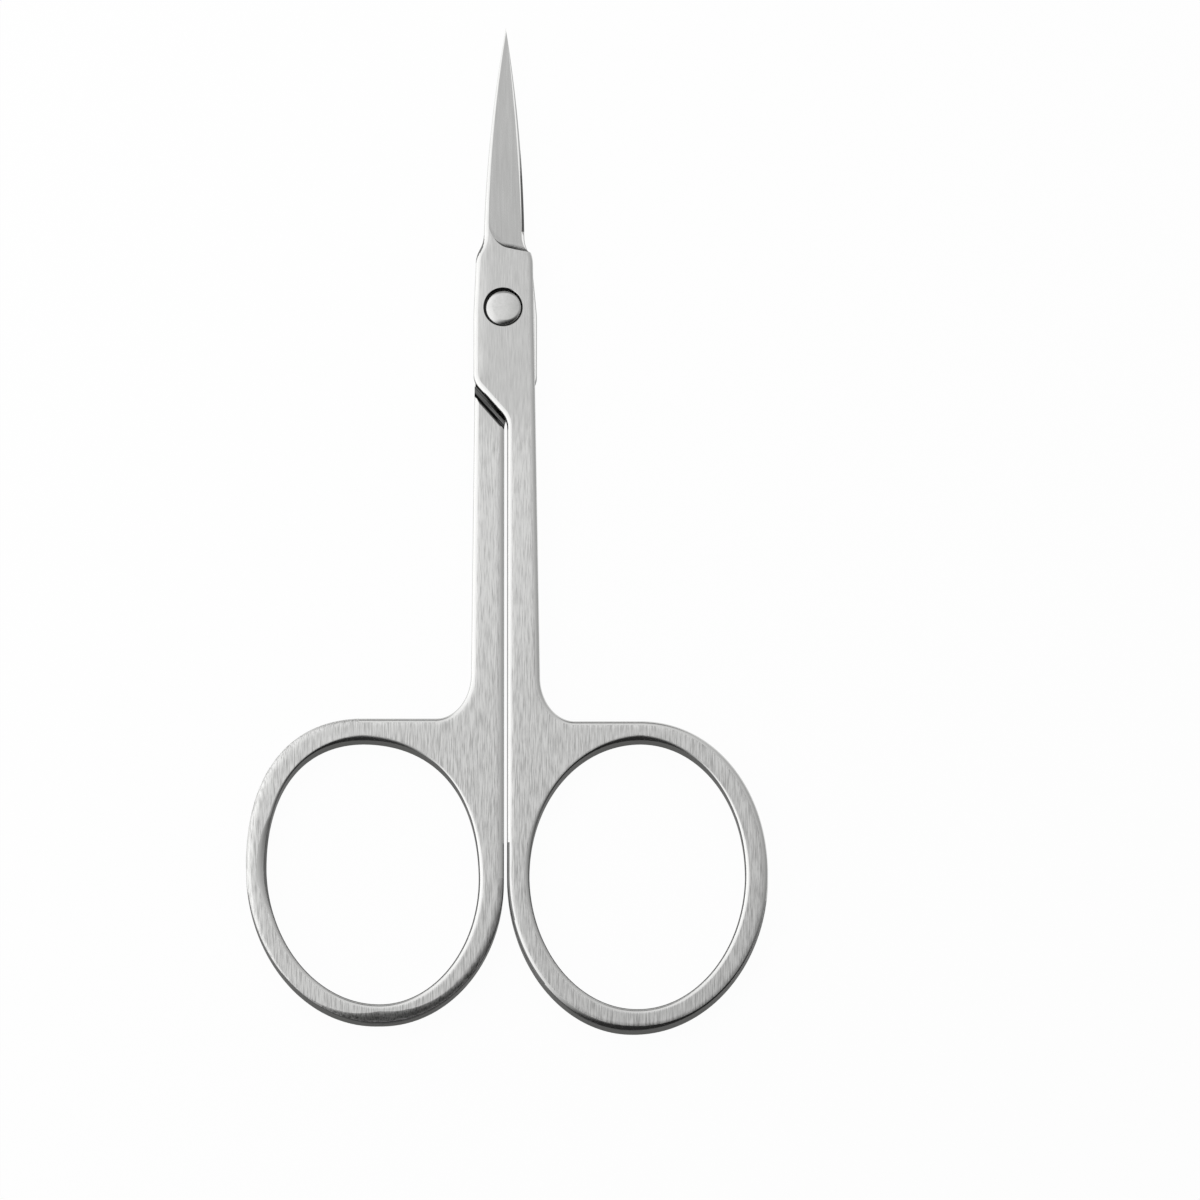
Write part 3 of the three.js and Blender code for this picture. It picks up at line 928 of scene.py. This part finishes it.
def smooth(piece):
    """Even shading over the rounded edges, with the flat faces kept flat."""
    piece.data.shade_smooth()
    piece.data.set_sharp_from_angle(angle=SHARP_ANGLE)
    weighted = piece.modifiers.new("weighted_normals", "WEIGHTED_NORMAL")
    weighted.keep_sharp = True
    weighted.weight = FLAT_WEIGHT


# Pieces

def half(node, body, sizes, other_sizes, centre_line_x, bore, placing, groove_turn, seed):
    """One half: its blank is ground, milled and bored as drawn, and then laid in its place."""
    piece = finished(node + "_fine", blank(sizes, other_sizes))
    for finish in finishes(seed, groove_turn):
        piece.data.materials.append(finish)
    cut_edge(piece, sizes)
    cut_lap(piece, other_sizes)
    cut_grind(piece, sizes)
    piece.data.transform(Matrix.Translation((centre_line_x, 0, 0)))
    bore(piece)
    piece.data.transform(Matrix.Scale(MM, 4) @ placing)
    smooth(piece)
    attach(piece, body)
    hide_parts(node)


def rivet():
    """The rivet, with a polished face and its sides painted dark as shade in the gap round the head."""
    piece = finished("pivot_rivet_fine", rivet_mesh())
    piece.data.transform(Matrix.Scale(MM, 4))
    piece.data.materials.append(steel("rivet_face", 0.56, 0.64, (0.16, 0.24), RIVET_GRAIN, 0.05, 11))
    piece.data.materials.append(steel("rivet_side_painted_shade", 0.10, 0.20, (0.28, 0.40), RIVET_GRAIN, 0.1, 12))
    for face in piece.data.polygons:
        face.material_index = 0 if abs(face.normal.z) > RIVET_SIDE_NORMAL_Z else 1
    smooth(piece)
    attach(piece, "rear")
    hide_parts("pivot_rivet")


LAID_AS_DRAWN = Matrix.Identity(4)
TURNED_OVER = Matrix.Translation((0, 0, STOCK_THICKNESS)) @ Matrix.Rotation(math.pi, 4, "Y")
ALONG_DIAGONAL = math.pi / 2 - LAP_ANGLE

half("front_half", "front", FRONT, REAR, CENTRE_LINE_X, bore_for_head, LAID_AS_DRAWN, -ALONG_DIAGONAL, 1)
half("rear_half", "rear", REAR, FRONT, -CENTRE_LINE_X, bore_for_tail, TURNED_OVER, ALONG_DIAGONAL, 2)
rivet()


# Studio

FLOOR_REACH = 4000 * MM
FLOOR_DROP = 0.02 * MM  # below the object's back
FLOOR_COLOUR = (0.9, 0.9, 0.9, 1)
FLOOR_GLOW = 0.97  # share of the floor that shows plain white, so that its shadow stays faint
TENT_RADIUS = 170 * MM
TENT_CENTRE = Vector((0, -29, 0)) * MM
TENT_STEPS = 64
LEFT_LEVEL = 1.6
RIGHT_LEVEL = 0.45
FRONT_LEVEL = 0.03
BACK_LEVEL = 0.3
FRONT_SPAN = (-0.53, 0.22)  # from the dark front to full light, as shares of the radius
FRONT_SKEW = -0.8  # the dark front starts further forward on the left
BACK_SPAN = (0.8, 0.97)


def floor():
    """A plain pale floor, mostly plain white to the eye and in the steel."""
    mesh = bmesh.new()
    bmesh.ops.create_grid(mesh, x_segments=1, y_segments=1, size=FLOOR_REACH)
    piece = finished("floor", mesh)
    piece.location.z = -FLOOR_DROP
    material, nodes, links = nodes_of("floor")
    nodes.remove(nodes["Principled BSDF"])
    pale = nodes.new("ShaderNodeBsdfDiffuse")
    pale.inputs["Color"].default_value = FLOOR_COLOUR
    white = nodes.new("ShaderNodeEmission")
    mix = nodes.new("ShaderNodeMixShader")
    path = nodes.new("ShaderNodeLightPath").outputs
    seen = calculated(nodes, links, "ADD", path["Is Camera Ray"], path["Is Glossy Ray"])
    seen = calculated(nodes, links, "ADD", seen, path["Is Transmission Ray"])
    links.new(calculated(nodes, links, "MULTIPLY", seen, FLOOR_GLOW), mix.inputs["Fac"])
    links.new(pale.outputs["BSDF"], mix.inputs[1])
    links.new(white.outputs["Emission"], mix.inputs[2])
    links.new(mix.outputs["Shader"], nodes["Material Output"].inputs["Surface"])
    piece.data.materials.append(material)
    piece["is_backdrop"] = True


def tent_light():
    """Soft light by place on the tent: strong at the left, weak at the right and back, dark in front."""
    material, nodes, links = nodes_of("light_tent")
    nodes.remove(nodes["Principled BSDF"])
    place = nodes.new("ShaderNodeSeparateXYZ")
    links.new(nodes.new("ShaderNodeTexCoord").outputs["Object"], place.inputs["Vector"])
    x, y = place.outputs["X"], place.outputs["Y"]
    left = span(nodes, links, x, (-1, 0), (LEFT_LEVEL, 1), "LINEAR")
    right = span(nodes, links, x, (0, 1), (1, RIGHT_LEVEL), "LINEAR")
    back = span(nodes, links, y, BACK_SPAN, (1, BACK_LEVEL))
    to_left = calculated(nodes, links, "MINIMUM", x, 0)
    forward = calculated(nodes, links, "MULTIPLY_ADD", to_left, FRONT_SKEW, y)
    front = span(nodes, links, forward, FRONT_SPAN, (FRONT_LEVEL, 1))
    sideways = calculated(nodes, links, "MULTIPLY", left, right)
    lengthwise = calculated(nodes, links, "MULTIPLY", front, back)
    level = calculated(nodes, links, "MULTIPLY", sideways, lengthwise)
    emission = nodes.new("ShaderNodeEmission")
    links.new(level, emission.inputs["Strength"])
    links.new(emission.outputs["Emission"], nodes["Material Output"].inputs["Surface"])
    material.cycles.emission_sampling = "NONE"
    return material


def light_tent():
    """A round tent of soft light over the object, which the camera looks through."""
    mesh = bmesh.new()
    bmesh.ops.create_uvsphere(mesh, u_segments=TENT_STEPS, v_segments=TENT_STEPS // 2, radius=1)
    below = [vert for vert in mesh.verts if vert.co.z < 0]
    bmesh.ops.delete(mesh, geom=below, context="VERTS")
    piece = finished("light_tent", mesh)
    piece.location = TENT_CENTRE
    piece.scale = (TENT_RADIUS, TENT_RADIUS, TENT_RADIUS)
    piece.visible_camera = False
    piece.data.materials.append(tent_light())
    piece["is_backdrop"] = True


def studio():
    bpy.context.scene.view_settings.view_transform = "Standard"
    world = bpy.data.worlds.new("studio")
    world.use_nodes = True
    world.node_tree.nodes["Background"].inputs["Color"].default_value = (1, 1, 1, 1)
    bpy.context.scene.world = world
    floor()
    light_tent()


# Camera, at the photograph's viewing angle

CAMERA_TARGET = Vector((8.82, -27.54, STOCK_THICKNESS)) * MM
CAMERA_ELEVATION = math.radians(77)
CAMERA_DISTANCE = 4000 * MM
VIEW_WIDTH = 109.8 * MM
CLIP_START = CAMERA_DISTANCE / 10
CLIP_END = CAMERA_DISTANCE * 100


def camera():
    data = bpy.data.cameras.new("camera")
    data.sensor_fit = "HORIZONTAL"
    data.angle = 2 * math.atan(VIEW_WIDTH / 2 / CAMERA_DISTANCE)
    data.clip_start = CLIP_START
    data.clip_end = CLIP_END
    piece = bpy.data.objects.new("camera", data)
    back = Vector((0, -math.cos(CAMERA_ELEVATION), math.sin(CAMERA_ELEVATION)))
    piece.location = CAMERA_TARGET + back * CAMERA_DISTANCE
    piece.rotation_euler = back.to_track_quat("Z", "Y").to_euler()
    bpy.context.scene.collection.objects.link(piece)
    bpy.context.scene.camera = piece


studio()
camera()

boxes = {"cad": cad_bounds, "visual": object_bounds()}
{name: [list(corner) for corner in box] for name, box in boxes.items()}
